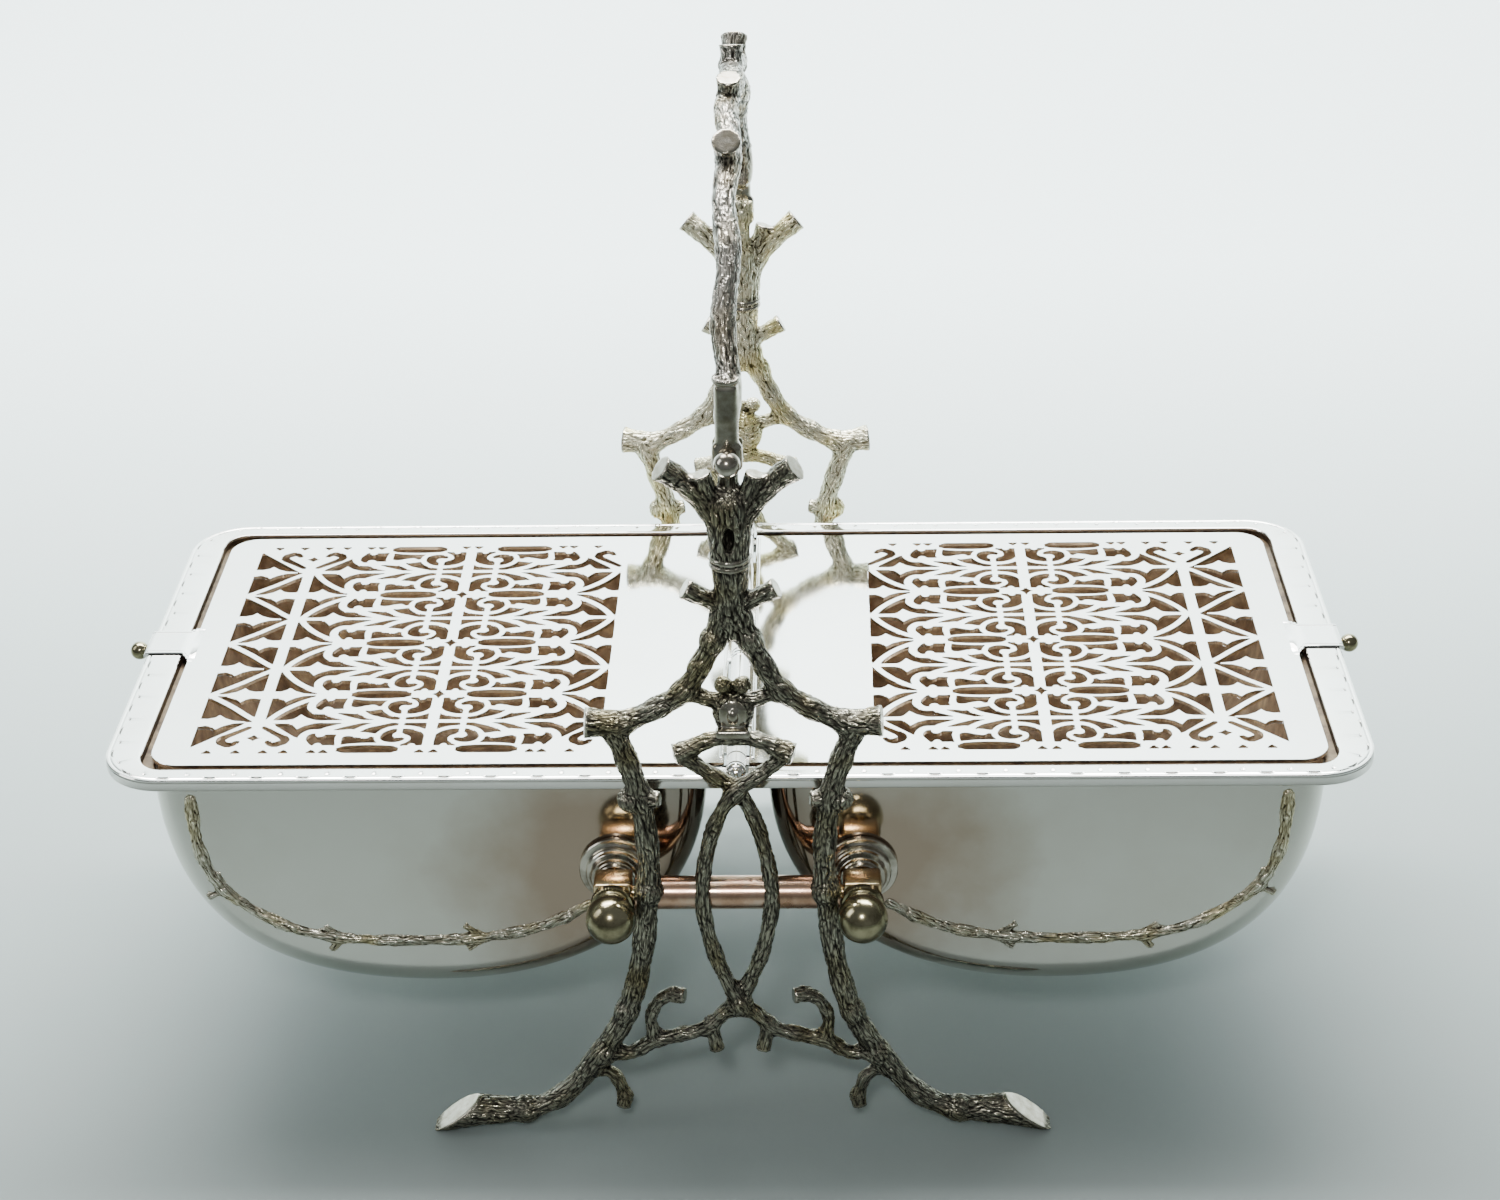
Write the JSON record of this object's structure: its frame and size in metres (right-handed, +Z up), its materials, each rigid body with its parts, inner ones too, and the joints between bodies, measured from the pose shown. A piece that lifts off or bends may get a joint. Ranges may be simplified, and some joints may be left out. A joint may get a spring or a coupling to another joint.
{
  "type": "folding biscuit box",
  "caption": "Silver-plated folding biscuit box: two hollow trays with pierced lift-up covers, hinged on a centre pin and hung between twig end frames under a branch handle.",
  "frame": {"origin": "on the table, under the middle of the centre hinge", "axes": "+Z up, X along the opened trays with the left tray at -X, Y along the centre hinge with the front end frame at -Y"},
  "size_m": [0.4254, 0.2422, 0.3345],
  "materials": {
    "mirror_plate": "mirror-polished silver plate with fine scratches",
    "shell_plate": "polished silver plate, lightly tarnished, brown inside",
    "twig_silver": "cast silver plate with oxidised bark texture",
    "turned_plate": "turned and polished silver plate, slightly yellowed",
    "worn_copper": "silver plate worn through to copper"
  },
  "bodies": {
    "frame": {"front_twig_frame": "twig_silver", "rear_twig_frame": "twig_silver", "front_cross_tube": "worn_copper", "rear_cross_tube": "worn_copper", "front_handle_screw": "turned_plate", "rear_handle_screw": "turned_plate"},
    "handle": {"handle": "twig_silver"},
    "hinge_pin": {"hinge_pin": "shell_plate", "front_hinge_cap": "mirror_plate", "rear_hinge_cap": "mirror_plate"},
    "left_shell": {"left_shell": "shell_plate", "left_rim": "mirror_plate", "left_knob": "turned_plate", "left_front_pivot": "turned_plate", "left_rear_pivot": "turned_plate"},
    "left_cover": {"left_cover": "mirror_plate"},
    "left_front_slide_block": {"left_front_slide_block": "worn_copper"},
    "left_front_ball_nut": {"left_front_ball_nut": "turned_plate"},
    "left_rear_slide_block": {"left_rear_slide_block": "worn_copper"},
    "left_rear_ball_nut": {"left_rear_ball_nut": "turned_plate"},
    "right_shell": {"right_shell": "shell_plate", "right_rim": "mirror_plate", "right_knob": "turned_plate", "right_front_pivot": "turned_plate", "right_rear_pivot": "turned_plate"},
    "right_cover": {"right_cover": "mirror_plate"},
    "right_front_slide_block": {"right_front_slide_block": "worn_copper"},
    "right_front_ball_nut": {"right_front_ball_nut": "turned_plate"},
    "right_rear_slide_block": {"right_rear_slide_block": "worn_copper"},
    "right_rear_ball_nut": {"right_rear_ball_nut": "turned_plate"}
  },
  "joints": [
    {"name": "handle_swing", "type": "hinge", "parent": "frame", "child": "handle", "pos_m": [0, 0, 0.247], "axis": [0, 1, 0], "range_deg": [-60, 60]},
    {"name": "hinge_drop", "type": "slide", "parent": "frame", "child": "hinge_pin", "axis": [0, 0, -1], "range_m": [0, 0.08]},
    {"name": "left_fold", "type": "hinge", "parent": "hinge_pin", "child": "left_shell", "pos_m": [0, 0, 0.1288], "axis": [0, 1, 0], "range_deg": [0, 90]},
    {"name": "left_cover_lift", "type": "hinge", "parent": "left_shell", "child": "left_cover", "pos_m": [0, 0, 0.1288], "axis": [0, -1, 0], "range_deg": [-55, 0]},
    {"name": "left_front_block_turn", "type": "hinge", "parent": "left_shell", "child": "left_front_slide_block", "pos_m": [-0.04, -0.0978, 0.0888], "axis": [0, 1, 0], "range_deg": [-90, 0]},
    {"name": "left_front_nut_turn", "type": "hinge", "parent": "left_shell", "child": "left_front_ball_nut", "pos_m": [-0.04, -0.113, 0.0888], "axis": [0, -1, 0], "continuous": true},
    {"name": "left_rear_block_turn", "type": "hinge", "parent": "left_shell", "child": "left_rear_slide_block", "pos_m": [-0.04, 0.0978, 0.0888], "axis": [0, 1, 0], "range_deg": [-90, 0]},
    {"name": "left_rear_nut_turn", "type": "hinge", "parent": "left_shell", "child": "left_rear_ball_nut", "pos_m": [-0.04, 0.113, 0.0888], "axis": [0, 1, 0], "continuous": true},
    {"name": "right_fold", "type": "hinge", "parent": "hinge_pin", "child": "right_shell", "pos_m": [0, 0, 0.1288], "axis": [0, 1, 0], "range_deg": [-90, 0]},
    {"name": "right_cover_lift", "type": "hinge", "parent": "right_shell", "child": "right_cover", "pos_m": [0, 0, 0.1288], "axis": [0, 1, 0], "range_deg": [-55, 0]},
    {"name": "right_front_block_turn", "type": "hinge", "parent": "right_shell", "child": "right_front_slide_block", "pos_m": [0.04, -0.0978, 0.0888], "axis": [0, 1, 0], "range_deg": [0, 90]},
    {"name": "right_front_nut_turn", "type": "hinge", "parent": "right_shell", "child": "right_front_ball_nut", "pos_m": [0.04, -0.113, 0.0888], "axis": [0, -1, 0], "continuous": true},
    {"name": "right_rear_block_turn", "type": "hinge", "parent": "right_shell", "child": "right_rear_slide_block", "pos_m": [0.04, 0.0978, 0.0888], "axis": [0, 1, 0], "range_deg": [0, 90]},
    {"name": "right_rear_nut_turn", "type": "hinge", "parent": "right_shell", "child": "right_rear_ball_nut", "pos_m": [0.04, 0.113, 0.0888], "axis": [0, 1, 0], "continuous": true}
  ],
  "couplings": [
    {"joint": "left_fold", "follows": "hinge_drop", "rad_per_m": 19.635},
    {"joint": "left_front_block_turn", "follows": "hinge_drop", "rad_per_m": -19.635},
    {"joint": "left_rear_block_turn", "follows": "hinge_drop", "rad_per_m": -19.635},
    {"joint": "right_fold", "follows": "hinge_drop", "rad_per_m": -19.635},
    {"joint": "right_front_block_turn", "follows": "hinge_drop", "rad_per_m": 19.635},
    {"joint": "right_rear_block_turn", "follows": "hinge_drop", "rad_per_m": 19.635}
  ]
}
